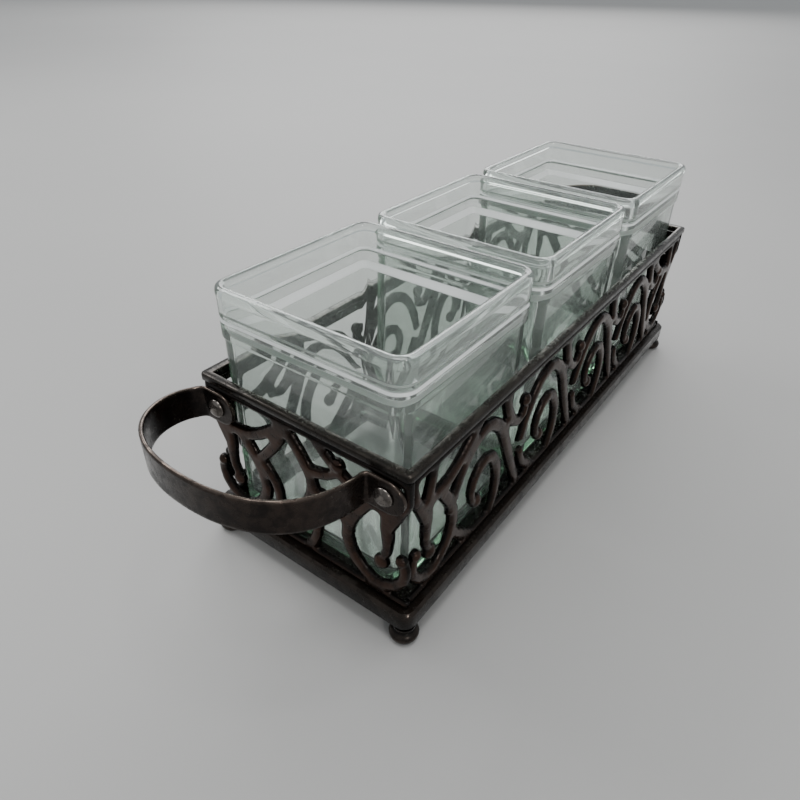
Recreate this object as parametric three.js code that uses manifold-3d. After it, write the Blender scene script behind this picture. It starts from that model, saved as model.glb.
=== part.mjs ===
// A chip and dip server: three square glass dishes standing in an openwork metal caddy
// with a strap handle at each end.
//
// Millimetres, +Z up. X runs along the caddy, from the front end to the rear end, and Y across it.
// The origin is on the table, under the middle of the caddy.

import * as THREE from "three";
import { mergeVertices } from "three/addons/utils/BufferGeometryUtils.js";
import Module from "manifold-3d";

const wasm = await Module();
wasm.setup();

// ---------------------------------------------------------------- driving dimensions

const DISH_COUNT = 3;
const DISH_SIDE = 100; // across the rolled rim
const DISH_HEIGHT = 116.4;
const DISH_CORNER_RADIUS = 9.5;
const DISH_WALL = 3.8; // of the collar, above its ledges
const DISH_BEAD = 4.8; // across the rolled rim's section
const DISH_BASE = 6;
const DISH_COLLAR_HEIGHT = 23; // the stepped band at the top of a dish
const DISH_UPPER_LEDGE = 1; // how far each ledge inside the collar reaches in
const DISH_LOWER_LEDGE = 2.4;
const DISH_SPACING = 6.6; // between the rims of neighbouring dishes

const END_CLEARANCE = 0.7; // from an end dish to the top rim
const SIDE_CLEARANCE = 2.75; // from a dish to the top rim, on each long side

const FOOT_HEIGHT = 9;
const FOOT_RADIUS = 7;
const FOOT_INSET = 5.5; // from the base frame's outer faces to a foot's axis
const FOOT_SPIGOT_RADIUS = 2.5;
const FOOT_SPIGOT_LENGTH = 5;

const BASE_HEIGHT = 10;
const BASE_WIDTH = 14; // of the base frame's section
const BASE_OVERHANG = 3; // of the base frame past the top rim, all round
const BASE_CORNER_RADIUS = 6;
const BASE_EDGE_BREAK = 1.2;

const PANEL_HEIGHT = 70.1;
const PANEL_THICKNESS = 3.4;
const PANEL_SETBACK = 0.6; // of the panels' outer faces behind the rim's
const PANEL_TOP_BAR = 4;
const PANEL_BOTTOM_BAR = 3;
const CORNER_SCROLL_WIDTH = 31; // of a long side's length, at each end
const SCROLL_WEIGHT = 1.2; // how bold the scrolls are, as a share of their drawn widths
const SIDE_REPEATS = 4; // scroll motifs along a long side, between its corners

const RIM_HEIGHT = 4;
const RIM_WIDTH = 4.2;
const RIM_CORNER_RADIUS = 2.5;

const CROSS_BAR_WIDTH = 24;
const CROSS_BAR_THICKNESS = 3;
const CROSS_BAR_BEARING = 4; // how far each end reaches into the base frame

const STRAP_WIDTH = 15.8; // the height of the handle's band
const STRAP_THICKNESS = 1.8;
const STRAP_REACH = 50; // from the panel to the far side of the loop
const STRAP_RISE = 8; // the loop's outer end above its fastened ends
const STRAP_BEND_RADIUS = 3;
const TAB_LENGTH = 19; // the straight end that lies on the panel
const TAB_BELOW_RIM = 1.5; // from the panel's top edge to the strap's upper edge
const RIVET_SPACING = 92;
const RIVET_SHANK_RADIUS = 2;
const RIVET_HOLE_CLEARANCE = 0.3;
const RIVET_HEAD_RADIUS = 4.4;
const RIVET_HEAD_HEIGHT = 2.4;
const RIVET_FLARE = 1.2; // how far the closed end spreads into its countersink

const FIT_GAP = 0.3; // between pieces that touch

// ---------------------------------------------------------------- sizes that follow from them

const LENGTH =
  DISH_COUNT * DISH_SIDE + (DISH_COUNT - 1) * DISH_SPACING + 2 * (END_CLEARANCE + RIM_WIDTH);
const WIDTH = DISH_SIDE + 2 * (SIDE_CLEARANCE + RIM_WIDTH);
const BASE_LENGTH = LENGTH + 2 * BASE_OVERHANG;
const BASE_BREADTH = WIDTH + 2 * BASE_OVERHANG;
const DISH_PITCH = DISH_SIDE + DISH_SPACING;

const FLOOR_Z = FOOT_HEIGHT + BASE_HEIGHT;
const PANEL_Z = FLOOR_Z + FIT_GAP;
const RIM_Z = PANEL_Z + PANEL_HEIGHT + FIT_GAP;

const END_PANEL_WIDTH = WIDTH - 2 * PANEL_SETBACK;
const SIDE_PANEL_WIDTH = LENGTH - 2 * (PANEL_SETBACK + PANEL_THICKNESS + FIT_GAP);

const RIVET_HOLE_RADIUS = RIVET_SHANK_RADIUS + RIVET_HOLE_CLEARANCE;
const FLUSH_GAP = 0.2; // how far the rivets' closed ends stay inside the panels

const STRAP_SEGMENTS = 10; // along each stretch of the strap's line
const CURVE_STEP = 6; // mm, between the points of a scroll's outline
const ROUND_SEGMENTS = 16; // round a whole circle
const CORNER_SEGMENTS = 6; // round a quarter circle

// ---------------------------------------------------------------- finishes

const bronze = new THREE.MeshStandardMaterial({ color: 0x2b2119, roughness: 0.5, metalness: 0.8 });
const wornBronze = new THREE.MeshStandardMaterial({ color: 0x3a2c22, roughness: 0.42, metalness: 0.85 });
const strapSteel = new THREE.MeshStandardMaterial({ color: 0x332a22, roughness: 0.45, metalness: 0.85 });
const rivetSteel = new THREE.MeshStandardMaterial({ color: 0x8a8781, roughness: 0.3, metalness: 0.95 });
const glass = new THREE.MeshStandardMaterial({
  color: 0xd5e8de,
  roughness: 0.04,
  metalness: 0,
  transparent: true,
  opacity: 0.35,
});

// ---------------------------------------------------------------- solids

// A closed geometry as a solid that can be joined and cut.
function solidOf(geometry) {
  const bare = geometry.clone();
  bare.deleteAttribute("normal");
  bare.deleteAttribute("uv");
  const merged = mergeVertices(bare, 1e-4);
  return new wasm.Manifold(
    new wasm.Mesh({
      numProp: 3,
      vertProperties: merged.attributes.position.array,
      triVerts: new Uint32Array(merged.index.array),
    }),
  );
}

// The solid's surface as a flat-shaded geometry.
function geometryOf(solid) {
  const mesh = solid.getMesh();
  const geometry = new THREE.BufferGeometry();
  geometry.setAttribute("position", new THREE.BufferAttribute(mesh.vertProperties, 3));
  geometry.setIndex(new THREE.BufferAttribute(mesh.triVerts, 1));
  const flat = geometry.toNonIndexed();
  flat.computeVertexNormals();
  return flat;
}

const joined = (solids) => solids.reduce((whole, next) => whole.add(next));

// An arc gets twice as many straight steps as curveSegments says.
function extruded(shape, depth, options = {}) {
  return new THREE.ExtrudeGeometry(shape, {
    depth,
    bevelEnabled: false,
    curveSegments: CORNER_SEGMENTS / 2,
    ...options,
  });
}

function disc(x, y, radius, depth) {
  const shape = new THREE.Shape().absarc(x, y, radius, 0, 2 * Math.PI);
  return extruded(shape, depth, { curveSegments: ROUND_SEGMENTS / 2 });
}

// A rectangle with round corners, centred on the origin.
function roundedRectangle(length, width, radius, path = new THREE.Shape()) {
  const x = length / 2;
  const y = width / 2;
  path.moveTo(-x + radius, -y);
  path.absarc(x - radius, -y + radius, radius, -Math.PI / 2, 0);
  path.absarc(x - radius, y - radius, radius, 0, Math.PI / 2);
  path.absarc(-x + radius, y - radius, radius, Math.PI / 2, Math.PI);
  path.absarc(-x + radius, -y + radius, radius, Math.PI, 1.5 * Math.PI);
  return path;
}

// A rectangular frame of the given section width.
function frameShape(length, width, radius, band) {
  const shape = roundedRectangle(length, width, radius);
  const innerRadius = Math.max(radius - band, 1);
  shape.holes.push(
    roundedRectangle(length - 2 * band, width - 2 * band, innerRadius, new THREE.Path()),
  );
  return shape;
}

// ---------------------------------------------------------------- scrollwork

// One arm of scrollwork: a band along a smooth curve, whose width runs evenly from one end to the other
// through a middle width. Its ends are square: a free end is covered by a knob, and any other is buried
// in the arm or bar that it joins.
function arm(points, startWidth, middleWidth, endWidth) {
  const curve = new THREE.CatmullRomCurve3(
    points.map(([x, y]) => new THREE.Vector3(x, y, 0)),
    false,
    "centripetal",
  );
  const steps = Math.max(4, Math.round(curve.getLength() / CURVE_STEP));
  const left = [];
  const right = [];
  for (let i = 0; i <= steps; i++) {
    const t = i / steps;
    const middle = curve.getPointAt(t);
    const along = curve.getTangentAt(t);
    const across = new THREE.Vector2(-along.y, along.x);
    const width =
      t < 0.5
        ? THREE.MathUtils.lerp(startWidth, middleWidth, 2 * t)
        : THREE.MathUtils.lerp(middleWidth, endWidth, 2 * t - 1);
    const halfWidth = (width * SCROLL_WEIGHT) / 2;
    const centre = new THREE.Vector2(middle.x, middle.y);
    left.push(centre.clone().addScaledVector(across, halfWidth));
    right.push(centre.clone().addScaledVector(across, -halfWidth));
  }
  return new THREE.Shape([...right, ...left.reverse()]);
}

const mirroredArm = ([points, ...widths]) => [points.map(([x, y]) => [-x, y]), ...widths];
const mirroredKnob = ([x, y, radius]) => [-x, y, radius];

// An arm is [points, start width, middle width, end width] and a knob is [x, y, radius]. Points are
// shares of the motif's half width and of the panel's height; widths and radii are in millimetres.
const cornerArms = [
  [[[-0.985, 0.97], [-0.955, 0.83], [-0.87, 0.69], [-0.81, 0.59]], 4, 4.5, 5], // down the corner
  [[[-0.735, 0.97], [-0.765, 0.84], [-0.81, 0.7]], 4, 4.5, 5.5],
  [[[-0.83, 0.71], [-0.7, 0.715], [-0.53, 0.735], [-0.37, 0.81], [-0.22, 0.91], [-0.14, 0.98]], 5.5, 5, 4.5],
  [[[-0.81, 0.66], [-0.79, 0.53], [-0.81, 0.43], [-0.77, 0.34], [-0.75, 0.3]], 6.5, 4.8, 3.2],
  [
    [
      [-0.66, 0.73], [-0.55, 0.61], [-0.46, 0.48], [-0.425, 0.34], [-0.5, 0.18], [-0.7, 0.07],
      [-0.88, 0.135], [-0.96, 0.265], [-0.93, 0.375],
    ],
    5.5, 5.5, 4.2,
  ], // the volute round the lower corner
];
const cornerKnobs = [
  [-0.75, 0.285, 3.7],
  [-0.93, 0.375, 2.8],
];
const endCentreArms = [
  [[[-0.15, 0.95], [-0.23, 0.8], [-0.35, 0.67], [-0.47, 0.56]], 5, 5, 4.5],
  [[[-0.46, 0.57], [-0.33, 0.46], [-0.28, 0.34], [-0.3, 0.2], [-0.36, 0.02]], 4.5, 4.5, 5.5],
  [
    [[-0.15, 0.94], [-0.01, 0.79], [0.09, 0.64], [0.07, 0.48], [-0.05, 0.34], [-0.2, 0.22], [-0.33, 0.13]],
    5, 5.5, 4,
  ],
  [[[0.05, 0.7], [0.2, 0.72], [0.33, 0.78], [0.365, 0.85]], 5.5, 4.5, 3.6],
  [[[0.08, 0.53], [0.22, 0.55], [0.36, 0.5], [0.46, 0.4]], 4.5, 5, 4],
  [[[0.02, 0.42], [0.12, 0.3], [0.1, 0.16], [0.02, 0.02]], 4, 4.5, 5.5],
];
const endCentreKnobs = [[0.36, 0.855, 3.4]];

// One motif of the long sides: an arch that springs from the base, a scroll that curls back inside it
// round a knob, and a leaf that hangs from the top bar and curls up to a second knob.
const sideArms = [
  [
    [
      [-1.06, 0.42], [-0.9, 0.62], [-0.6, 0.8], [-0.2, 0.86], [0.22, 0.74], [0.5, 0.5],
      [0.78, 0.24], [1.02, 0.03],
    ],
    4.2, 6, 4.8,
  ],
  [
    [[0.16, 0.02], [0.27, 0.22], [0.2, 0.44], [-0.06, 0.58], [-0.38, 0.54], [-0.5, 0.38], [-0.36, 0.27]],
    5, 5.5, 3.6,
  ],
  [[[0.28, 0.98], [0.44, 0.79], [0.68, 0.66], [0.9, 0.65], [0.98, 0.74]], 5, 5.5, 3.6],
  [[[-1.02, 0.34], [-0.88, 0.2], [-0.68, 0.11], [-0.44, 0.02]], 3.8, 5, 5],
];
const sideKnobs = [
  [-0.34, 0.29, 3.7],
  [0.94, 0.78, 3.4],
];

// The arms and knobs of one motif as solids, centred on x = middle.
function motif(arms, knobs, middle, halfWidth) {
  const placed = ([x, y]) => [middle + x * halfWidth, y * PANEL_HEIGHT];
  return [
    ...arms.map(([points, ...widths]) =>
      solidOf(extruded(arm(points.map(placed), ...widths), PANEL_THICKNESS)),
    ),
    ...knobs.map(([x, y, radius]) => solidOf(disc(...placed([x, y]), radius, PANEL_THICKNESS))),
  ];
}

// A flat bar across the whole panel.
function bar(width, low, high) {
  const box = new THREE.BoxGeometry(width, high - low, PANEL_THICKNESS);
  return solidOf(box.translate(0, (low + high) / 2, PANEL_THICKNESS / 2));
}

// Scrollwork between a top and a bottom bar, trimmed to the panel's own rectangle. It lies in X and Y,
// with its middle at x = 0, its lower edge at y = 0 and its outer face at z = PANEL_THICKNESS.
function panel(width, scrolls) {
  const whole = joined([
    bar(width, 0, PANEL_BOTTOM_BAR),
    bar(width, PANEL_HEIGHT - PANEL_TOP_BAR, PANEL_HEIGHT),
    ...scrolls,
  ]);
  return whole.intersect(bar(width, 0, PANEL_HEIGHT));
}

function endPanel() {
  const half = END_PANEL_WIDTH / 2;
  const scrolls = motif(
    [...cornerArms, ...cornerArms.map(mirroredArm), ...endCentreArms],
    [...cornerKnobs, ...cornerKnobs.map(mirroredKnob), ...endCentreKnobs],
    0,
    half,
  );
  const bosses = rivetPlaces().map((x) =>
    solidOf(disc(x, tabMiddle(), RIVET_HEAD_RADIUS + 1, PANEL_THICKNESS)),
  );
  const holes = rivetPlaces().map((x) => solidOf(rivetHole().translate(x, tabMiddle(), 0)));
  return panel(END_PANEL_WIDTH, [...scrolls, ...bosses]).subtract(joined(holes));
}

// The corner scrolls of an end panel close both ends of a long side, with the motifs repeated between.
function sidePanel() {
  const half = SIDE_PANEL_WIDTH / 2;
  const cornerHalf = END_PANEL_WIDTH / 2;
  const run = (SIDE_PANEL_WIDTH - 2 * CORNER_SCROLL_WIDTH) / SIDE_REPEATS;
  const scrolls = [
    ...motif(cornerArms, cornerKnobs, cornerHalf - half, cornerHalf),
    ...motif(cornerArms.map(mirroredArm), cornerKnobs.map(mirroredKnob), half - cornerHalf, cornerHalf),
  ];
  for (let i = 0; i < SIDE_REPEATS; i++) {
    scrolls.push(...motif(sideArms, sideKnobs, (i - (SIDE_REPEATS - 1) / 2) * run, run / 2));
  }
  return panel(SIDE_PANEL_WIDTH, scrolls);
}

// ---------------------------------------------------------------- handle

const rivetPlaces = () => [-RIVET_SPACING / 2, RIVET_SPACING / 2];
const tabMiddle = () => PANEL_HEIGHT - TAB_BELOW_RIM - STRAP_WIDTH / 2;

// The middle line of the strap seen from above: x is the distance out from the panel's outer face and
// y runs across the caddy. Both tabs point the same way, along +y where fold is 1 and along -y where it
// is -1, so the loop sits off the middle of the caddy by half the folded length.
function strapLine(fold) {
  const onPanel = FIT_GAP + STRAP_THICKNESS / 2;
  const far = STRAP_REACH - STRAP_THICKNESS / 2;
  const innerFold = -RIVET_SPACING / 2 - TAB_LENGTH / 2;
  const outerFold = RIVET_SPACING / 2 - TAB_LENGTH / 2;
  const innerTip = innerFold + TAB_LENGTH;
  const outerTip = outerFold + TAB_LENGTH;
  const loopMiddle = (innerFold + outerFold) / 2;
  const bend = STRAP_BEND_RADIUS;
  const point = (x, y) => new THREE.Vector2(x, fold * y);
  const line = new THREE.CurvePath();
  line.add(new THREE.LineCurve(point(onPanel, innerTip), point(onPanel, innerFold + bend)));
  line.add(
    new THREE.CubicBezierCurve(
      point(onPanel, innerFold + bend),
      point(onPanel, innerFold - 2.7 * bend),
      point(far, innerFold - 2.5 * bend),
      point(far, loopMiddle),
    ),
  );
  line.add(
    new THREE.CubicBezierCurve(
      point(far, loopMiddle),
      point(far, outerFold + bend),
      point(onPanel + 4 * bend, outerFold),
      point(onPanel + bend, outerFold),
    ),
  );
  line.add(
    new THREE.QuadraticBezierCurve(
      point(onPanel + bend, outerFold),
      point(onPanel, outerFold),
      point(onPanel, outerFold + bend),
    ),
  );
  line.add(new THREE.LineCurve(point(onPanel, outerFold + bend), point(onPanel, outerTip)));
  return line;
}

// The outline of a band of even thickness along a line.
function bandShape(line, thickness) {
  const points = line.getPoints(STRAP_SEGMENTS);
  const side = (sign) =>
    points.map((point, i) => {
      const before = points[Math.max(i - 1, 0)];
      const after = points[Math.min(i + 1, points.length - 1)];
      const along = after.clone().sub(before).normalize();
      const across = new THREE.Vector2(-along.y, along.x);
      return point.clone().addScaledVector(across, (sign * thickness) / 2);
    });
  return new THREE.Shape([...side(-1), ...side(1).reverse()]);
}

// What rounds off one tab's tip: a block over the tip less the round that stays. dir is 1 for the tab
// that points along +y and -1 for the other.
function tipCut(tipY, dir) {
  const radius = STRAP_WIDTH / 2;
  const depth = STRAP_THICKNESS * 4;
  const block = new THREE.BoxGeometry(depth, radius, STRAP_WIDTH * 1.5);
  const round = new THREE.CylinderGeometry(radius, radius, depth * 2, 2 * ROUND_SEGMENTS);
  round.rotateZ(Math.PI / 2);
  return solidOf(block.translate(0, tipY - (dir * radius) / 2 + dir * 0.01, 0)).subtract(
    solidOf(round.translate(0, tipY - dir * radius, 0)),
  );
}

// The strap, with z = 0 at half its width, its rivet holes, and its outer end raised.
function strap(fold) {
  const band = extruded(bandShape(strapLine(fold), STRAP_THICKNESS), STRAP_WIDTH);
  const holes = rivetPlaces().map((y) => {
    const drill = new THREE.CylinderGeometry(
      RIVET_HOLE_RADIUS, RIVET_HOLE_RADIUS, STRAP_THICKNESS * 4, ROUND_SEGMENTS,
    );
    return solidOf(drill.rotateZ(Math.PI / 2).translate(STRAP_THICKNESS, y, 0));
  });
  const innerTip = -RIVET_SPACING / 2 + TAB_LENGTH / 2;
  const outerTip = RIVET_SPACING / 2 + TAB_LENGTH / 2;
  const cut = solidOf(band.translate(0, 0, -STRAP_WIDTH / 2)).subtract(
    joined([tipCut(fold * innerTip, fold), tipCut(fold * outerTip, fold), ...holes]),
  );
  const geometry = geometryOf(cut);
  const position = geometry.getAttribute("position");
  const flatEnd = FIT_GAP + STRAP_THICKNESS + STRAP_BEND_RADIUS;
  for (let i = 0; i < position.count; i++) {
    const out = (position.getX(i) - flatEnd) / (STRAP_REACH - flatEnd);
    position.setZ(i, position.getZ(i) + STRAP_RISE * Math.max(out, 0));
  }
  geometry.computeVertexNormals();
  return geometry;
}

// A rivet along +x, whose closed end is spread flush with the panel's inner face.
function rivet() {
  const closed = -PANEL_THICKNESS + FLUSH_GAP;
  const seat = 2 * FIT_GAP + STRAP_THICKNESS;
  const dome = new THREE.EllipseCurve(
    0, seat, RIVET_HEAD_RADIUS, RIVET_HEAD_HEIGHT, 0, Math.PI / 2,
  ).getPoints(5);
  dome.at(-1).x = 0;
  const geometry = new THREE.LatheGeometry(
    [
      new THREE.Vector2(0, closed),
      new THREE.Vector2(RIVET_SHANK_RADIUS + RIVET_FLARE, closed),
      new THREE.Vector2(RIVET_SHANK_RADIUS, closed + RIVET_FLARE),
      new THREE.Vector2(RIVET_SHANK_RADIUS, seat),
      ...dome,
    ],
    ROUND_SEGMENTS,
  );
  return geometry.rotateZ(-Math.PI / 2);
}

// The hole for a rivet through a panel, with a countersink at its inner face, z = 0.
function rivetHole() {
  const past = 1;
  const wide = RIVET_HOLE_RADIUS + RIVET_FLARE;
  const geometry = new THREE.LatheGeometry(
    [
      new THREE.Vector2(0, -past),
      new THREE.Vector2(wide, -past),
      new THREE.Vector2(wide, FLUSH_GAP),
      new THREE.Vector2(RIVET_HOLE_RADIUS, FLUSH_GAP + RIVET_FLARE),
      new THREE.Vector2(RIVET_HOLE_RADIUS, PANEL_THICKNESS + past),
      new THREE.Vector2(0, PANEL_THICKNESS + past),
    ],
    ROUND_SEGMENTS,
  );
  return geometry.rotateX(Math.PI / 2);
}

// ---------------------------------------------------------------- rim, base and feet

function topRim() {
  return extruded(frameShape(LENGTH, WIDTH, RIM_CORNER_RADIUS, RIM_WIDTH), RIM_HEIGHT);
}

const footPlaces = () =>
  [-1, 1].flatMap((x) =>
    [-1, 1].map((y) => [x * (BASE_LENGTH / 2 - FOOT_INSET), y * (BASE_BREADTH / 2 - FOOT_INSET)]),
  );

const barPlaces = () =>
  Array.from({ length: DISH_COUNT - 1 }, (_, i) => (i + 1 - DISH_COUNT / 2) * DISH_PITCH);

// The moulded frame that the panels stand on, with its underside at z = 0: blind holes take the feet
// from below and notches take the ends of the cross bars from above.
function baseFrame() {
  const edge = BASE_EDGE_BREAK;
  const ring = extruded(
    frameShape(BASE_LENGTH, BASE_BREADTH, BASE_CORNER_RADIUS, BASE_WIDTH),
    BASE_HEIGHT - 2 * edge,
    { bevelEnabled: true, bevelThickness: edge, bevelSize: edge, bevelOffset: -edge, bevelSegments: 1 },
  );
  const sockets = footPlaces().map(([x, y]) => {
    const depth = FOOT_SPIGOT_LENGTH + FIT_GAP;
    const drill = disc(x, y, FOOT_SPIGOT_RADIUS + FIT_GAP, 2 * depth);
    return solidOf(drill.translate(0, 0, -depth));
  });
  const notches = barPlaces().map((x) => {
    const notch = new THREE.BoxGeometry(
      CROSS_BAR_WIDTH + 2 * FIT_GAP,
      crossBarLength() + 2 * FIT_GAP,
      2 * (CROSS_BAR_THICKNESS + FIT_GAP),
    );
    return solidOf(notch.translate(x, 0, BASE_HEIGHT));
  });
  return solidOf(ring.translate(0, 0, edge)).subtract(joined([...sockets, ...notches]));
}

const crossBarLength = () => BASE_BREADTH - 2 * (BASE_WIDTH - CROSS_BAR_BEARING);

function crossBar() {
  return new THREE.BoxGeometry(CROSS_BAR_WIDTH, crossBarLength(), CROSS_BAR_THICKNESS);
}

// A turned knob with a flat sole at z = 0, a waist, a collar under the base frame, and a spigot.
function foot() {
  const top = FOOT_HEIGHT - FIT_GAP;
  const sole = FOOT_RADIUS * 0.6;
  const bulge = FOOT_HEIGHT * 0.36;
  const waist = FOOT_RADIUS * 0.6;
  const collar = FOOT_RADIUS * 0.74;
  const points = [
    [0, 0],
    [sole, 0],
    [FOOT_RADIUS * 0.88, bulge * 0.35],
    [FOOT_RADIUS, bulge],
    [FOOT_RADIUS * 0.9, bulge * 1.6],
    [waist, top * 0.72],
    [collar, top * 0.84],
    [collar, top],
    [FOOT_SPIGOT_RADIUS, top],
    [FOOT_SPIGOT_RADIUS, FOOT_HEIGHT + FOOT_SPIGOT_LENGTH],
    [0, FOOT_HEIGHT + FOOT_SPIGOT_LENGTH],
  ];
  const profile = points.map(([radius, z]) => new THREE.Vector2(radius, z));
  return new THREE.LatheGeometry(profile, ROUND_SEGMENTS).rotateX(Math.PI / 2);
}

// ---------------------------------------------------------------- dishes

// A square dish with round corners, its underside at z = 0. Its profile is turned round the corner
// radius, and the four quarters of the turning are then pulled apart to the dish's size. A profile
// point is [how far inside the rim's outer face, height], and null stands for the dish's middle.
function squareTurned(points, side, cornerRadius) {
  const quarter = CORNER_SEGMENTS - 1;
  const segments = 4 * quarter;
  const halfStep = Math.PI / segments;
  const profile = points.map(
    ([inset, z]) => new THREE.Vector2(inset === null ? 0 : cornerRadius - inset, z),
  );
  const geometry = new THREE.LatheGeometry(profile, segments, halfStep);
  const spread = side / 2 - cornerRadius * Math.cos(halfStep);
  const position = geometry.getAttribute("position");
  for (let i = 0; i <= segments; i++) {
    const angle = halfStep + (2 * Math.PI * i) / segments;
    for (let j = 0; j < profile.length; j++) {
      if (points[j][0] === null) {
        continue;
      }
      const vertex = i * profile.length + j;
      position.setX(vertex, position.getX(vertex) + spread * Math.sign(Math.sin(angle)));
      position.setZ(vertex, position.getZ(vertex) + spread * Math.sign(Math.cos(angle)));
    }
  }
  return geometry.rotateX(Math.PI / 2);
}

function dish() {
  const top = DISH_HEIGHT;
  const bead = DISH_BEAD / 2;
  const groove = top - DISH_COLLAR_HEIGHT * 0.62;
  const ledge = top - DISH_COLLAR_HEIGHT;
  const band = 0.4; // the collar's bands behind the rolled rim
  const body = 1.3; // the body behind the rolled rim
  const wall = DISH_WALL;
  const middle = wall + DISH_UPPER_LEDGE;
  const well = middle + DISH_LOWER_LEDGE;
  return squareTurned(
    [
      [null, 0],
      [body + 4, 0],
      [body + 1.2, 1.2],
      [body, 4],
      [body, ledge - 1],
      [band, ledge + 0.4],
      [band, groove - 1],
      [body, groove],
      [band, groove + 1],
      [band, top - 2 * bead],
      [0, top - 1.3 * bead],
      [0.2 * bead, top - 0.35 * bead],
      [bead, top],
      [1.8 * bead, top - 0.35 * bead],
      [2 * bead, top - 1.2 * bead],
      [wall, top - 1.9 * bead],
      [wall, groove + 2],
      [middle, groove + 1],
      [middle, ledge + 3.8],
      [well, ledge + 0.7],
      [well, DISH_BASE + 3],
      [well + 1, DISH_BASE + 0.9],
      [well + 3, DISH_BASE],
      [null, DISH_BASE],
    ],
    DISH_SIDE,
    DISH_CORNER_RADIUS,
  );
}

// ---------------------------------------------------------------- assembly

const server = new THREE.Group();

function place(name, geometry, material, x, y, z, parent = server) {
  const mesh = new THREE.Mesh(geometry, material);
  mesh.name = name;
  mesh.position.set(x, y, z);
  parent.add(mesh);
  return mesh;
}

place("top_rim", topRim(), wornBronze, 0, 0, RIM_Z);
place("base_frame", geometryOf(baseFrame()), bronze, 0, 0, FOOT_HEIGHT);

barPlaces().forEach((x, i) => {
  place(`cross_bar_${i + 1}`, crossBar(), bronze, x, 0, FLOOR_Z - CROSS_BAR_THICKNESS / 2);
});

footPlaces().forEach(([x, y]) => {
  const name = `foot_${x < 0 ? "front" : "rear"}_${y < 0 ? "right" : "left"}`;
  place(name, foot(), bronze, x, y, 0);
});

// Each end carries its panel, handle and two rivets, drawn for the rear end, with x out of the caddy.
// The tabs of both handles point to the caddy's right side.
for (const [end, turn, fold] of [["front", Math.PI, 1], ["rear", 0, -1]]) {
  const group = new THREE.Group();
  group.rotation.z = turn;
  server.add(group);
  const face = LENGTH / 2 - PANEL_SETBACK;
  const tab = PANEL_Z + tabMiddle();
  const panelMesh = place(
    `${end}_panel`, geometryOf(endPanel()), wornBronze, face - PANEL_THICKNESS, 0, PANEL_Z, group,
  );
  panelMesh.rotation.set(Math.PI / 2, Math.PI / 2, 0);
  place(`${end}_handle`, strap(fold), strapSteel, face, 0, tab, group);
  rivetPlaces().forEach((y) => {
    const side = y * Math.cos(turn) < 0 ? "right" : "left";
    place(`${end}_${side}_rivet`, rivet(), rivetSteel, face, y, tab, group);
  });
}

for (const [side, turn] of [["right", 0], ["left", Math.PI]]) {
  const group = new THREE.Group();
  group.rotation.z = turn;
  server.add(group);
  const face = WIDTH / 2 - PANEL_SETBACK;
  const mesh = place(
    `${side}_panel`, geometryOf(sidePanel()), wornBronze, 0, -face + PANEL_THICKNESS, PANEL_Z, group,
  );
  mesh.rotation.x = Math.PI / 2;
}

for (let i = 0; i < DISH_COUNT; i++) {
  const x = (i - (DISH_COUNT - 1) / 2) * DISH_PITCH;
  place(`dish_${i + 1}`, dish(), glass, x, 0, FLOOR_Z + FIT_GAP);
}

export default server;
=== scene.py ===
# The looks of a chip and dip server: three pressed-glass dishes in a cast openwork caddy with riveted
# strap handles. Metres, in the caddy's own frame: +X towards its rear end, +Y to its left side, +Z up,
# with the origin on the table under its middle.

import math

import bmesh
import bpy
from mathutils import Matrix, Vector, geometry, kdtree


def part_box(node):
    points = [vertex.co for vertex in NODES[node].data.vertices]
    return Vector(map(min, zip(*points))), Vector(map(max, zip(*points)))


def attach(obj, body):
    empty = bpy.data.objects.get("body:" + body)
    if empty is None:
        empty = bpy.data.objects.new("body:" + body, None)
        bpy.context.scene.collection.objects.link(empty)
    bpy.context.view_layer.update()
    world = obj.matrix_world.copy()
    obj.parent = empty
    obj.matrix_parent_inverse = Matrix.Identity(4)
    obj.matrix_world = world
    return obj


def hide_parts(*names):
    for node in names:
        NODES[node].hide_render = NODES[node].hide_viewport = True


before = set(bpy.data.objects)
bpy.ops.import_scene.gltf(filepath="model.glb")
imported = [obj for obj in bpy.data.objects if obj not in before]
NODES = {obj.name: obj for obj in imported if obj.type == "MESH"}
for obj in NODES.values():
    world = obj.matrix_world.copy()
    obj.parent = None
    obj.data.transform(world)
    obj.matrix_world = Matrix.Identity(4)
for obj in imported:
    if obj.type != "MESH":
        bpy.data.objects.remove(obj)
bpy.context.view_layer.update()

MM = 0.001
UP = Vector((0, 0, 1))

# ---------------------------------------------------------------- sizes shared with the caddy's solids

PANEL_THICKNESS = 3.4 * MM
RIM_WIDTH = 4.2 * MM
RIM_CORNER_RADIUS = 2.5 * MM

STRAP_WIDTH = 15.8 * MM
STRAP_THICKNESS = 1.8 * MM
STRAP_REACH = 50 * MM
STRAP_RISE = 8 * MM
STRAP_BEND = 3 * MM
TAB_LENGTH = 19 * MM
RIVET_SPACING = 92 * MM
RIVET_SHANK_RADIUS = 2 * MM
FIT_GAP = 0.3 * MM

DISH_SIDE = 100 * MM
DISH_HEIGHT = 116.4 * MM
DISH_CORNER_RADIUS = 9.5 * MM
DISH_WALL = 3.8 * MM
DISH_BEAD = 4.8 * MM
DISH_BASE = 6 * MM
DISH_COLLAR = 23 * MM
DISH_UPPER_LEDGE = 1 * MM
DISH_LOWER_LEDGE = 2.4 * MM

FOOT_RADIUS = 7 * MM
FOOT_HEIGHT = 8.7 * MM  # from the sole to the base
SPIGOT_RADIUS = 2.5 * MM

ROUND_STEPS = 40  # of a turned foot or rivet, all the way round

# ---------------------------------------------------------------- shader groups


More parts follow.
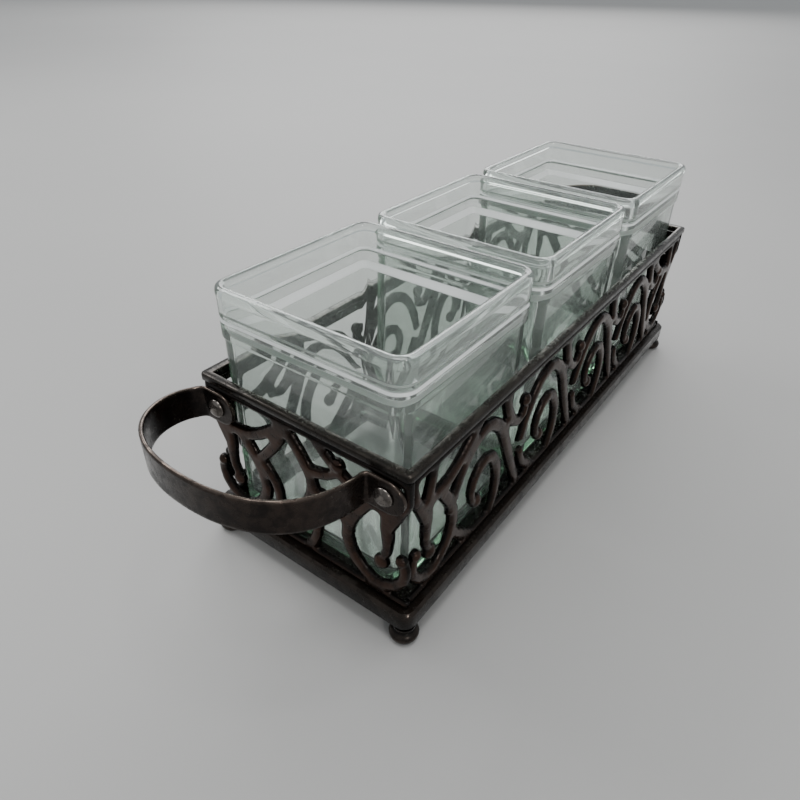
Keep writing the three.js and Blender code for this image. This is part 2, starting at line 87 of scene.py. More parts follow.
def new_group(name, inputs, outputs):
    """A shader node group with named sockets: inputs are (name, kind, default), outputs (name, kind)."""
    group = bpy.data.node_groups.new(name, "ShaderNodeTree")
    for label, kind, default in inputs:
        socket = group.interface.new_socket(label, in_out="INPUT", socket_type=kind)
        socket.default_value = default
    for label, kind in outputs:
        group.interface.new_socket(label, in_out="OUTPUT", socket_type=kind)
    return group, group.nodes.new("NodeGroupInput"), group.nodes.new("NodeGroupOutput")


def add(tree, kind, links=None, **settings):
    """A node with its settings, and its inputs set to a value or linked from a socket."""
    node = tree.nodes.new(kind)
    for key, value in settings.items():
        setattr(node, key, value)
    for key, value in (links or {}).items():
        if isinstance(value, bpy.types.NodeSocket):
            tree.links.new(value, node.inputs[key])
        else:
            node.inputs[key].default_value = value
    return node


def maths(tree, operation, a, b=0.0, clamp=False):
    return add(tree, "ShaderNodeMath", {0: a, 1: b}, operation=operation, use_clamp=clamp).outputs[0]


def noise(tree, place, scale, detail=3.0, roughness=0.55):
    links = {"Vector": place, "Scale": scale, "Detail": detail, "Roughness": roughness}
    return add(tree, "ShaderNodeTexNoise", links).outputs["Fac"]


def stretch(tree, value, low, high, to_low=0.0, to_high=1.0):
    """Value's span low to high spread smoothly over to_low to to_high."""
    links = {"Value": value, "From Min": low, "From Max": high, "To Min": to_low, "To Max": to_high}
    return add(tree, "ShaderNodeMapRange", links, interpolation_type="SMOOTHSTEP").outputs["Result"]


def mix(tree, share, a, b):
    """Colour a where share is 0, and b where it is 1."""
    return add(tree, "ShaderNodeMix", {0: share, 6: a, 7: b}, data_type="RGBA").outputs[2]


COLOUR = "NodeSocketColor"
NUMBER = "NodeSocketFloat"
VECTOR = "NodeSocketVector"

# Noise scales per metre: a scale of 200 gives blotches about 5 mm across.
CLOUD_SCALE = 38.0
MOTTLE_SCALE = 190.0
CAST_GRAIN = 900.0
SMEAR_SCALE = 55.0
RIPPLE_SCALE = 30.0
DROP_SCALE = 260.0

GRAIN_SHARE = 0.35  # of the fine grain in the metal's relief, beside the mottle
WORN_POLISH = -0.12  # what rubbing takes off the metal's roughness
DROP_ROUGHNESS = 0.12  # what a dried drop adds to the glass's roughness


def patina_group():
    """Aged metal: Colour, Rough and Height from three colours, worn where Wear is high."""
    group, given, result = new_group(
        "patina",
        [
            ("Place", VECTOR, (0, 0, 0)),
            ("Wear", NUMBER, 0.0),
            ("Dark", COLOUR, (0.02, 0.015, 0.012, 1)),
            ("Body", COLOUR, (0.05, 0.035, 0.026, 1)),
            ("Worn", COLOUR, (0.15, 0.1, 0.07, 1)),
            ("Roughness", NUMBER, 0.4),
            ("Grain", NUMBER, CAST_GRAIN),
        ],
        [("Colour", COLOUR), ("Rough", NUMBER), ("Height", NUMBER)],
    )
    place = given.outputs["Place"]
    clouds = noise(group, place, CLOUD_SCALE, 4.0)
    mottle = noise(group, place, MOTTLE_SCALE, 5.0, 0.65)
    grain = noise(group, place, given.outputs["Grain"], 3.0, 0.6)

    clean = stretch(group, maths(group, "ADD", clouds, mottle), 0.85, 1.2)
    patina = mix(group, clean, given.outputs["Dark"], given.outputs["Body"])
    patches = stretch(group, mottle, 0.32, 0.62, 0.35, 1.0)
    rubbed = maths(group, "MULTIPLY", patches, given.outputs["Wear"], True)
    colour = mix(group, rubbed, patina, given.outputs["Worn"])

    spread = stretch(group, mottle, 0.3, 0.7, 0.12, -0.1)
    uneven = maths(group, "ADD", given.outputs["Roughness"], spread)
    polish = maths(group, "MULTIPLY", rubbed, WORN_POLISH)
    rough = maths(group, "ADD", uneven, polish, True)

    height = maths(group, "ADD", mottle, maths(group, "MULTIPLY", grain, GRAIN_SHARE))
    group.links.new(colour, result.inputs["Colour"])
    group.links.new(rough, result.inputs["Rough"])
    group.links.new(height, result.inputs["Height"])
    return group


def film_group():
    """Washed glass: the mould's slow ripple in Height, dried drops in Rough and smears in Tint."""
    group, given, result = new_group(
        "glass_film",
        [
            ("Place", VECTOR, (0, 0, 0)),
            ("Ripple", NUMBER, RIPPLE_SCALE),
            ("Marks", NUMBER, DROP_SCALE),
        ],
        [("Height", NUMBER), ("Rough", NUMBER), ("Tint", NUMBER)],
    )
    place = given.outputs["Place"]
    ripple = noise(group, place, given.outputs["Ripple"], 2.0, 0.4)
    marks = noise(group, place, given.outputs["Marks"], 4.0, 0.7)
    smear = noise(group, place, SMEAR_SCALE, 3.0, 0.6)
    drops = maths(group, "MULTIPLY", stretch(group, marks, 0.62, 0.74), stretch(group, smear, 0.45, 0.7))
    group.links.new(ripple, result.inputs["Height"])
    group.links.new(maths(group, "MULTIPLY", drops, DROP_ROUGHNESS), result.inputs["Rough"])
    group.links.new(smear, result.inputs["Tint"])
    return group


PATINA = patina_group()
FILM = film_group()

# ---------------------------------------------------------------- materials


def new_material(name):
    material = bpy.data.materials.new(name)
    material.use_nodes = True
    tree = material.node_tree
    return material, tree, tree.nodes["Principled BSDF"]


def object_place(tree):
    return tree.nodes.new("ShaderNodeTexCoord").outputs["Object"]


def aged_metal(
    name, dark, body, worn, roughness, metallic, grain=CAST_GRAIN, bump=0.35, depth=0.25 * MM
):
    """Metal with a brown patina, whose wear attribute says where hands and cloths have rubbed it bright;
    on the cast panels the wear is also held off close under the rim as painted shade, and on the rivets'
    domes it is partly a painted glint. Its relief is depth deep, and bump is the share of it that shows."""
    material, tree, shader = new_material(name)
    finish = {
        "Place": object_place(tree),
        "Wear": add(tree, "ShaderNodeAttribute", attribute_name="wear").outputs["Fac"],
        "Dark": (*dark, 1),
        "Body": (*body, 1),
        "Worn": (*worn, 1),
        "Roughness": roughness,
        "Grain": grain,
    }
    patina = add(tree, "ShaderNodeGroup", finish, node_tree=PATINA)
    relief = {"Strength": bump, "Distance": depth, "Height": patina.outputs["Height"]}
    pits = add(tree, "ShaderNodeBump", relief)
    tree.links.new(patina.outputs["Colour"], shader.inputs["Base Color"])
    tree.links.new(patina.outputs["Rough"], shader.inputs["Roughness"])
    tree.links.new(pits.outputs["Normal"], shader.inputs["Normal"])
    shader.inputs["Metallic"].default_value = metallic
    return material


GLASS_TINTS = ((0.955, 0.985, 0.97, 1), (0.98, 0.995, 0.985, 1))
GLASS_IOR = 1.5
GLASS_GREEN = (0.6, 0.82, 0.66, 1)
GLASS_DENSITY = 26.0


def pressed_glass(name, clearness, satin):
    """Soda glass, green where it is thick. Clearness is the share of light that passes straight through,
    and satin is the roughness that the mould leaves."""
    material, tree, shader = new_material(name)
    film = add(tree, "ShaderNodeGroup", {"Place": object_place(tree)}, node_tree=FILM)
    tint = mix(tree, film.outputs["Tint"], *GLASS_TINTS)
    rough = maths(tree, "ADD", film.outputs["Rough"], satin)
    wave = {"Strength": 0.25, "Distance": 0.4 * MM, "Height": film.outputs["Height"]}
    ripple = add(tree, "ShaderNodeBump", wave)
    tree.links.new(tint, shader.inputs["Base Color"])
    tree.links.new(rough, shader.inputs["Roughness"])
    tree.links.new(ripple.outputs["Normal"], shader.inputs["Normal"])
    shader.inputs["IOR"].default_value = GLASS_IOR
    shader.inputs["Transmission Weight"].default_value = clearness
    depth = add(tree, "ShaderNodeVolumeAbsorption", {"Color": GLASS_GREEN, "Density": GLASS_DENSITY})
    tree.links.new(depth.outputs["Volume"], tree.nodes["Material Output"].inputs["Volume"])
    return material


def floor_finish():
    material, tree, shader = new_material("pale_floor")
    clouds = noise(tree, object_place(tree), 3.0, 3.0)
    colour = mix(tree, clouds, (0.37, 0.365, 0.36, 1), (0.4, 0.395, 0.385, 1))
    tree.links.new(colour, shader.inputs["Base Color"])
    shader.inputs["Roughness"].default_value = 0.6
    return material


CAST_BRONZE = aged_metal(
    "cast_bronze",
    dark=(0.002, 0.0015, 0.001),
    body=(0.008, 0.0048, 0.0034),
    worn=(0.05, 0.026, 0.017),
    roughness=0.24,
    metallic=0.75,
    depth=0.4 * MM,
)
RIM_BRONZE = aged_metal(
    "rim_bronze",
    dark=(0.002, 0.0015, 0.001),
    body=(0.006, 0.0045, 0.0035),
    worn=(0.05, 0.042, 0.035),
    roughness=0.28,
    metallic=0.75,
)
BASE_BRONZE = aged_metal(
    "base_bronze",
    dark=(0.002, 0.0015, 0.001),
    body=(0.005, 0.004, 0.003),
    worn=(0.04, 0.03, 0.024),
    roughness=0.28,
    metallic=0.75,
)
STRAP_STEEL = aged_metal(
    "strap_steel",
    dark=(0.006, 0.004, 0.0035),
    body=(0.022, 0.015, 0.012),
    worn=(0.11, 0.085, 0.07),
    roughness=0.28,
    metallic=0.8,
    grain=700.0,
)
RIVET_STEEL = aged_metal(
    "rivet_steel",
    dark=(0.02, 0.017, 0.015),
    body=(0.07, 0.06, 0.052),
    worn=(0.2, 0.18, 0.165),
    roughness=0.3,
    metallic=0.8,
    grain=1100.0,
    bump=0.3,
    depth=0.12 * MM,
)
GLASS = pressed_glass("pressed_glass", clearness=0.93, satin=0.0)
# A mostly diffuse, pale glass for the ledges: its colour is a painted highlight in place of bright
# refractions.
LEDGE_PAINTED_HIGHLIGHT_GLASS = pressed_glass("ledge_glass_painted_highlight", clearness=0.12, satin=0.1)

# ---------------------------------------------------------------- shaping

SOLID_MERGE = 0.001 * MM  # joins the loose triangles of a solid's copy
TURNED_MERGE = 0.005 * MM  # closes the seam and the poles of a turned piece


def finish_piece(name, bm, material, body, node):
    """The mesh as a smooth-shaded piece that rides on a body and stands for the node's solid."""
    mesh = bpy.data.meshes.new(name)
    bm.to_mesh(mesh)
    bm.free()
    mesh.materials.append(material)
    mesh.shade_smooth()
    piece = bpy.data.objects.new(name, mesh)
    bpy.context.scene.collection.objects.link(piece)
    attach(piece, body)
    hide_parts(node)
    return piece


def size_of(node):
    low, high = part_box(node)
    return high - low


def middle_of(node):
    low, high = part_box(node)
    return (low + high) / 2


def copy_of(node):
    """The node's own mesh as a bmesh, with its loose triangles joined."""
    bm = bmesh.new()
    bm.from_mesh(NODES[node].data)
    bmesh.ops.remove_doubles(bm, verts=bm.verts, dist=SOLID_MERGE)
    return bm


def sharpen(bm, degrees):
    """Edges that turn by more than this are shaded as creases."""
    limit = math.radians(degrees)
    for edge in bm.edges:
        edge.smooth = edge.calc_face_angle(0) < limit


def soften(bm, edges, radius, segments, **settings):
    """The edges rounded off."""
    bmesh.ops.bevel(
        bm,
        geom=edges,
        offset=radius,
        offset_type="OFFSET",
        affect="EDGES",
        segments=segments,
        profile=0.5,
        material=-1,
        **settings,
    )


def outline(points, closed, rounding=(), segments=3):
    """A wire in X and Z through (x, z, wear) points, whose corners are rounded by (index, radius)."""
    bm = bmesh.new()
    wear = bm.verts.layers.float.new("wear")
    verts = []
    for x, z, worn in points:
        vert = bm.verts.new((x, 0, z))
        vert[wear] = worn
        verts.append(vert)
    pairs = list(zip(verts, verts[1:]))
    if closed:
        pairs.append((verts[-1], verts[0]))
    for pair in pairs:
        bm.edges.new(pair)
    for index, radius in rounding:
        bmesh.ops.bevel(
            bm,
            geom=[verts[index]],
            offset=radius,
            offset_type="OFFSET",
            affect="VERTICES",
            segments=segments,
            profile=0.5,
            material=-1,
        )
    return bm


def turned(bm, steps, start=0.0):
    """The wire turned once round the Z axis."""
    bmesh.ops.rotate(bm, verts=bm.verts, cent=(0, 0, 0), matrix=Matrix.Rotation(start, 3, "Z"))
    bmesh.ops.spin(
        bm,
        geom=bm.verts[:] + bm.edges[:],
        cent=(0, 0, 0),
        axis=(0, 0, 1),
        angle=2 * math.pi,
        steps=steps,
        use_merge=True,
        use_duplicate=False,
    )
    bmesh.ops.remove_doubles(bm, verts=bm.verts, dist=TURNED_MERGE)
    bmesh.ops.recalc_face_normals(bm, faces=bm.faces)
    return bm


# How far from the axis a square ring's profile is turned, more than any profile is deep.
TURNING_RADIUS = 60 * MM


def square_ring(bm, length, width, corner, quarter_steps):
    """The wire carried round a rectangle with round corners. In the wire, x is the distance inside the
    rectangle's edge. The wire is turned round the axis, and each quarter is then moved to its corner."""
    for vert in bm.verts:
        vert.co.x = TURNING_RADIUS - vert.co.x
    steps = 4 * quarter_steps
    turned(bm, steps, math.pi / steps)
    half = Vector((length / 2, width / 2))
    for vert in bm.verts:
        reach = math.hypot(vert.co.x, vert.co.y)
        inset = TURNING_RADIUS - reach
        way = Vector((vert.co.x, vert.co.y)) / reach
        radius = max(corner - inset, 0)
        for axis in (0, 1):
            centre = half[axis] - max(corner, inset)
            vert.co[axis] = math.copysign(centre, way[axis]) + radius * way[axis]
    bmesh.ops.remove_doubles(bm, verts=bm.verts, dist=TURNED_MERGE)
    bmesh.ops.recalc_face_normals(bm, faces=bm.faces)
    return bm


# ---------------------------------------------------------------- cast panels

CASTING_GRAIN = 0.55 * MM  # the mesh size of a cast panel
KEPT_SHARE = 0.45  # of a panel's triangles, after it is shaped
SMOOTHING_PASSES = 3
ARM_HALF_WIDTH = 2.3 * MM
ARM_CROWN = 1.7 * MM  # how far the rounded arms fall away to their edges
KNOB_PROUD = 0.9 * MM
WALL_SLOPE = 0.6  # points whose normals rise less than this belong to the arms' walls

RIM_SHADE_BASE_FADE_HEIGHT = 11 * MM  # the height in which wear grows from none to full, away from rim and base; the missing wear close under the rim is painted shade
BASE_WEAR = 0.3  # the share of the wear that is left at the base
CROWN_WEAR = 1.3
EDGE_PATINA = 0.35  # keeps the wear off the lower quarter of an arm's crown

# Knobs as (share of the half width, share of the height, radius): the eyes that the scrolls end in.
CORNER_KNOBS = [(-0.75, 0.285, 3.7 * MM), (-0.93, 0.375, 2.8 * MM)]
END_KNOB = (0.36, 0.855, 3.4 * MM)
SIDE_KNOBS = [(-0.34, 0.29, 3.7 * MM), (0.94, 0.78, 3.4 * MM)]
SIDE_REPEATS = 4
CORNER_SCROLL_WIDTH = 31 * MM


def end_knobs(half, height):
    corners = [(side * x, z, radius) for x, z, radius in CORNER_KNOBS for side in (1, -1)]
    return [(x * half, z * height, radius) for x, z, radius in corners + [END_KNOB]]


def side_knobs(half, height, end_half):
    knobs = []
    for side in (1, -1):
        middle = side * (end_half - half)
        knobs += [(middle + side * x * end_half, z * height, radius) for x, z, radius in CORNER_KNOBS]
    run = 2 * (half - CORNER_SCROLL_WIDTH) / SIDE_REPEATS
    for i in range(SIDE_REPEATS):
        middle = (i - (SIDE_REPEATS - 1) / 2) * run
        knobs += [(middle + x * run / 2, z * height, radius) for x, z, radius in SIDE_KNOBS]
    return knobs


def laid_flat(node, along):
    """The turn that lays a panel's outer face upwards, its length along X and its foot at y = 0."""
    middle = middle_of(node)
    outwards = along.cross(UP)
    inner = middle - outwards * (PANEL_THICKNESS / 2)
    origin = Vector((inner.x, inner.y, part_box(node)[0].z))
    axes = Matrix((along, UP, outwards)).to_4x4()
    return axes @ Matrix.Translation(-origin)


def modified(bm, kind, **settings):
    """The mesh as one modifier leaves it."""
    mesh = bpy.data.meshes.new("casting")
    bm.to_mesh(mesh)
    bm.free()
    blank = bpy.data.objects.new("casting", mesh)
    bpy.context.scene.collection.objects.link(blank)
    modifier = blank.modifiers.new("step", kind)
    for key, value in settings.items():
        setattr(modifier, key, value)
    made = bpy.data.meshes.new_from_object(blank.evaluated_get(bpy.context.evaluated_depsgraph_get()))
    bpy.data.objects.remove(blank)
    result = bmesh.new()
    result.from_mesh(made)
    bpy.data.meshes.remove(made)
    return result


def wall_points(bm):
    """A search tree, seen from above, of the points on the arms' walls."""
    bm.normal_update()
    points = [vert.co.copy() for vert in bm.verts if abs(vert.normal.z) < WALL_SLOPE]
    tree = kdtree.KDTree(len(points))
    for i, point in enumerate(points):
        tree.insert((point.x, point.y, 0), i)
    tree.balance()
    return tree


def crowned_height(point, walls, knobs):
    """The height of the rounded face over this point: an arm like half-round bar, or a domed knob."""
    gap = walls.find(Vector((point.x, point.y, 0)))[2]
    inward = 1 - min(gap / ARM_HALF_WIDTH, 1)
    height = PANEL_THICKNESS - ARM_CROWN * (1 - math.sqrt(1 - inward * inward))
    for x, y, radius in knobs:
        off = math.hypot(point.x - x, point.y - y) / radius
        if off < 1:
            dome = (ARM_CROWN + KNOB_PROUD) * math.sqrt(1 - off * off)
            height = max(height, PANEL_THICKNESS - ARM_CROWN + dome)
    return height


def crown(bm, knobs):
    """Rounds the arms and domes the knobs. The height of every point is scaled by what the rounded face
    has there, so walls and back keep their shape. The crowns are worn, except close under the rim,
    where the missing wear is painted shade; the wear also fades towards the base."""
    walls = wall_points(bm)
    wear = bm.verts.layers.float.new("wear")
    top = max(vert.co.y for vert in bm.verts)
    for vert in bm.verts:
        height = crowned_height(vert.co, walls, knobs)
        share = vert.co.z / PANEL_THICKNESS
        vert.co.z = share * height
        raised = (height - PANEL_THICKNESS + ARM_CROWN) / ARM_CROWN
        # Close under the rim the wear falls to none: painted shade. Towards the base it fades to
        # BASE_WEAR.
        rim_shade_base_fade = min(1.0, (top - vert.co.y) / RIM_SHADE_BASE_FADE_HEIGHT, BASE_WEAR + vert.co.y / RIM_SHADE_BASE_FADE_HEIGHT)
        rubbed = max(0.0, min(1.0, raised * share * CROWN_WEAR - EDGE_PATINA))
        vert[wear] = rubbed * rim_shade_base_fade


def cast_panel(name, node, along, knobs):
    """The flat openwork solid remeshed, rounded and smoothed like a casting."""
    bm = copy_of(node)
    flat = laid_flat(node, along)
    bmesh.ops.transform(bm, matrix=flat, verts=bm.verts)
    bm = modified(bm, "REMESH", voxel_size=CASTING_GRAIN)
    crown(bm, knobs)
    all_ways = {"use_axis_x": True, "use_axis_y": True, "use_axis_z": True}
    for _ in range(SMOOTHING_PASSES):
        bmesh.ops.smooth_vert(bm, verts=bm.verts, factor=0.5, **all_ways)
    bm = modified(bm, "DECIMATE", ratio=KEPT_SHARE)
    bmesh.ops.transform(bm, matrix=flat.inverted(), verts=bm.verts)
    finish_piece(name, bm, CAST_BRONZE, "caddy", node)


def panels():
    end_size = size_of("front_panel")
    side_size = size_of("right_panel")
    end_half = end_size.y / 2
    ends = end_knobs(end_half, end_size.z)
    sides = side_knobs(side_size.x / 2, side_size.z, end_half)
    cast_panel("front_scrollwork", "front_panel", Vector((0, -1, 0)), ends)
    cast_panel("rear_scrollwork", "rear_panel", Vector((0, 1, 0)), ends)
    cast_panel("right_scrollwork", "right_panel", Vector((1, 0, 0)), sides)
    cast_panel("left_scrollwork", "left_panel", Vector((-1, 0, 0)), sides)


# ---------------------------------------------------------------- rim, base, bars and feet


def top_rim():
    """A bar with softened edges, brightest on its upper arrises, which dishes and hands rub."""
    size = size_of("top_rim")
    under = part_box("top_rim")[0].z
    soft = 0.9 * MM
    wide, tall = RIM_WIDTH, size.z
    section = [
        (0, soft, 0.2),
        (0, tall - soft, 0.35),
        (soft * 0.3, tall - soft * 0.3, 1),
        (soft, tall, 0.55),
        (wide - soft, tall, 0.5),
        (wide - soft * 0.3, tall - soft * 0.3, 1),
        (wide, tall - soft, 0.3),
        (wide, soft, 0.1),
        (wide - soft, 0, 0),
        (soft, 0, 0),
    ]
    bm = outline([(inset, under + z, worn) for inset, z, worn in section], True)
    square_ring(bm, size.x, size.y, RIM_CORNER_RADIUS, 6)
    sharpen(bm, 50)
    finish_piece("rim_bar", bm, RIM_BRONZE, "caddy", "top_rim")


def base_ring():
    """The moulded base: the solid itself with softened edges, because feet and bars are let into it.
    Its upper outer edge is worn."""
    bm = copy_of("base_frame")
    bmesh.ops.dissolve_limit(bm, angle_limit=math.radians(1), verts=bm.verts, edges=bm.edges)
    wear = bm.verts.layers.float.new("wear")
    sharp = [edge for edge in bm.edges if edge.calc_face_angle(0) > math.radians(25)]
    soften(bm, sharp, 0.35 * MM, 2, clamp_overlap=True)
    half = size_of("base_frame") / 2
    worn_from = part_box("base_frame")[1].z - 1.5 * MM
    for vert in bm.verts:
        outside = max(abs(vert.co.x) - half.x, abs(vert.co.y) - half.y)
        if vert.co.z > worn_from and outside > -3 * MM:
            vert[wear] = 0.7
    sharpen(bm, 40)
    finish_piece("base_moulding", bm, BASE_BRONZE, "caddy", "base_frame")


def cross_bar(name, node):
    bm = bmesh.new()
    bmesh.ops.create_cube(bm, size=1)
    bmesh.ops.scale(bm, verts=bm.verts, vec=size_of(node))
    bmesh.ops.translate(bm, verts=bm.verts, vec=middle_of(node))
    bm.verts.layers.float.new("wear")
    soften(bm, bm.edges[:], 0.6 * MM, 3)
    sharpen(bm, 40)
    finish_piece(name, bm, BASE_BRONZE, "caddy", node)


def foot(name, node):
    """A turned knob: a flat sole, a full belly, a waist and a collar under the base, and the spigot that
    fixes it in the base."""
    low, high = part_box(node)
    tall = high.z - low.z
    height = FOOT_HEIGHT
    radius = FOOT_RADIUS
    profile = [
        (0, 0, 0),
        (radius * 0.6, 0, 0.2),
        (radius * 0.88, height * 0.13, 0.3),
        (radius, height * 0.36, 1),
        (radius * 0.9, height * 0.58, 0.5),
        (radius * 0.6, height * 0.72, 0),
        (radius * 0.74, height * 0.86, 0.6),
        (radius * 0.74, height, 0.2),
        (SPIGOT_RADIUS, height, 0),
        (SPIGOT_RADIUS, tall, 0),
        (0, tall, 0),
    ]
    rounding = [(6, 0.4 * MM), (5, 0.7 * MM), (4, 1 * MM), (3, 1.5 * MM), (2, 0.9 * MM), (1, 0.5 * MM)]
    bm = turned(outline(profile, False, rounding, 4), ROUND_STEPS)
    middle = middle_of(node)
    bmesh.ops.translate(bm, verts=bm.verts, vec=(middle.x, middle.y, low.z))
    sharpen(bm, 40)
    finish_piece(name, bm, BASE_BRONZE, "caddy", node)


# ---------------------------------------------------------------- handles and rivets

# The end panels' outer faces, from the caddy's middle.
PANEL_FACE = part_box("rear_panel")[1].x

# The round tips of a strap's two tabs, along the panel.
TIP_INNER = (TAB_LENGTH - RIVET_SPACING) / 2
TIP_OUTER = (TAB_LENGTH + RIVET_SPACING) / 2
TIP_STEPS = 12
TIP_START = 0.35  # of a step, which leaves the first section of a tip some height

LOOP_STEPS = 40  # of each half of the loop
FOLD_STEPS = 10  # of the bend between the loop and the outer tab


def tab_points(x, tip, root):
    """Points from a tab's tip to its root, close together where the tip is rounded."""
    radius = STRAP_WIDTH / 2
    points = []
    for i in range(TIP_STEPS + 1):
        angle = min((i + TIP_START) / TIP_STEPS, 1) * math.pi / 2
        points.append(Vector((x, tip - radius * (1 - math.cos(angle)), 0)))
    return points + [Vector((x, root, 0))]


def strap_line():
    """The strap's middle line seen from above, as points (out from the panel, along it)."""
    on_panel = FIT_GAP + STRAP_THICKNESS / 2
    far = STRAP_REACH - STRAP_THICKNESS / 2
    bend = STRAP_BEND
    inner = TIP_INNER - TAB_LENGTH
    outer = TIP_OUTER - TAB_LENGTH
    middle = (inner + outer) / 2
    loop_start = [
        (on_panel, inner + bend),
        (on_panel, inner - 2.7 * bend),
        (far, inner - 2.5 * bend),
        (far, middle),
    ]
    loop_end = [
        (far, middle),
        (far, outer + bend),
        (on_panel + 4 * bend, outer),
        (on_panel + bend, outer),
    ]
    fold = [
        (on_panel + bend, outer),
        (on_panel + bend / 3, outer),
        (on_panel, outer + bend / 3),
        (on_panel, outer + bend),
    ]
    line = []
    for curve, steps in ((loop_start, LOOP_STEPS), (loop_end, LOOP_STEPS), (fold, FOLD_STEPS)):
        corners = [Vector((x, y, 0)) for x, y in curve]
        line += geometry.interpolate_bezier(*corners, steps)[:-1]
    first_tab = tab_points(on_panel, TIP_INNER, inner + bend)
    last_tab = tab_points(on_panel, TIP_OUTER, outer + bend)
    return first_tab + line + last_tab[::-1]


def strap_share(point, tip):
    """The share of the strap's full height that is left at this point by the tab's round tip."""
    gap = (tip - point.y) / (STRAP_WIDTH / 2)
    if point.x > FIT_GAP + STRAP_THICKNESS or gap > 1:
        return 1.0
    return math.sqrt(1 - (1 - gap) ** 2)


def strap_section():
    """The strap's section as (out, up, wear), with soft arrises that hands have rubbed brighter."""
    soft = 0.5 * MM
    thick, tall = STRAP_THICKNESS / 2, STRAP_WIDTH / 2
    upper = [
        (thick, tall - 3 * soft, 0.12),
        (thick, tall - soft, 0.45),
        (thick - soft, tall, 1),
        (-thick + soft, tall, 1),
        (-thick, tall - soft, 0.35),
        (-thick, tall - 3 * soft, 0),
    ]
    return upper + [(x, -z, 0.6 * worn) for x, z, worn in reversed(upper)]


def strap_stations(line):
    """Where each section of the strap stands. The loop rises as it leaves the panel."""
    flat_end = FIT_GAP + STRAP_THICKNESS + STRAP_BEND
    last = len(line) - 1
    stations = []
    for i, point in enumerate(line):
        along = (line[min(i + 1, last)] - line[max(i - 1, 0)]).normalized()
        across = Vector((along.y, -along.x, 0))
        share = strap_share(point, TIP_INNER if i < len(line) / 2 else TIP_OUTER)
        rise = STRAP_RISE * max((point.x - flat_end) / (STRAP_REACH - flat_end), 0)
        axes = Matrix((across, along, UP * share)).transposed().to_4x4()
        stations.append(Matrix.Translation((point.x, point.y, rise)) @ axes)
    return stations


def strap(name, node, turn, fold):
    """The section carried along the strap's line. The tabs point along +y where fold is 1, and are
    mirrored where it is -1."""
    bm = outline(strap_section(), True)
    first_loop = bm.edges[:]
    loop = first_loop
    verts = bm.verts[:]
    placed = Matrix.Identity(4)
    for i, station in enumerate(strap_stations(strap_line())):
        if i:
            grown = bmesh.ops.extrude_edge_only(bm, edges=loop)["geom"]
            verts = [item for item in grown if isinstance(item, bmesh.types.BMVert)]
            loop = [item for item in grown if isinstance(item, bmesh.types.BMEdge)]
        bmesh.ops.transform(bm, matrix=station @ placed.inverted(), verts=verts)
        placed = station
    for end in (first_loop, loop):
        bmesh.ops.contextual_create(bm, geom=end)
    bmesh.ops.scale(bm, verts=bm.verts, vec=(1, fold, 1))
    middle_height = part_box(node)[0].z + STRAP_WIDTH / 2
    bmesh.ops.translate(bm, verts=bm.verts, vec=(PANEL_FACE, 0, middle_height))
    bmesh.ops.rotate(bm, verts=bm.verts, cent=(0, 0, 0), matrix=Matrix.Rotation(turn, 3, "Z"))
    bmesh.ops.recalc_face_normals(bm, faces=bm.faces)
    sharpen(bm, 60)
    finish_piece(name, bm, STRAP_STEEL, "caddy", node)


def rivet(name, node):
    """A domed head on its shank. Its profile's heights are counted out from the panel's face."""
    radius = size_of(node).y / 2
    shank = RIVET_SHANK_RADIUS
    inner_end = -3.2 * MM
    seat = STRAP_THICKNESS + 2 * FIT_GAP
    dome = 2.4 * MM
    # The third column is the wear: brightest on the head's edge and apex, partly rubbed metal and partly
    # a painted glint on top of the dome.
    profile = [
        (0, inner_end, 0),
        (shank, inner_end, 0),
        (shank, seat, 0),
        (radius, seat, 0.4),
        (radius * 0.99, seat + 0.3 * MM, 0.9),
        (radius * 0.8, seat + dome * 0.62, 0.5),
        (radius * 0.42, seat + dome * 0.92, 0.9),
        (0, seat + dome, 1),
    ]
    bm = turned(outline(profile, False, [(5, 0.9 * MM), (6, 0.7 * MM)], 4), ROUND_STEPS)
    middle = middle_of(node)
    outwards = 1 if middle.x > 0 else -1
    facing = Matrix.Rotation(outwards * math.pi / 2, 3, "Y")
    bmesh.ops.rotate(bm, verts=bm.verts, cent=(0, 0, 0), matrix=facing)
    bmesh.ops.translate(bm, verts=bm.verts, vec=(outwards * PANEL_FACE, middle.y, middle.z))
    sharpen(bm, 50)
    finish_piece(name, bm, RIVET_STEEL, "caddy", node)


# ---------------------------------------------------------------- dishes

GROOVE_SHARE = 0.62  # of the collar's height, from the rim down to its groove
LEDGE_SLOPE = 0.2  # a face of the collar that looks up by more than this is a ledge


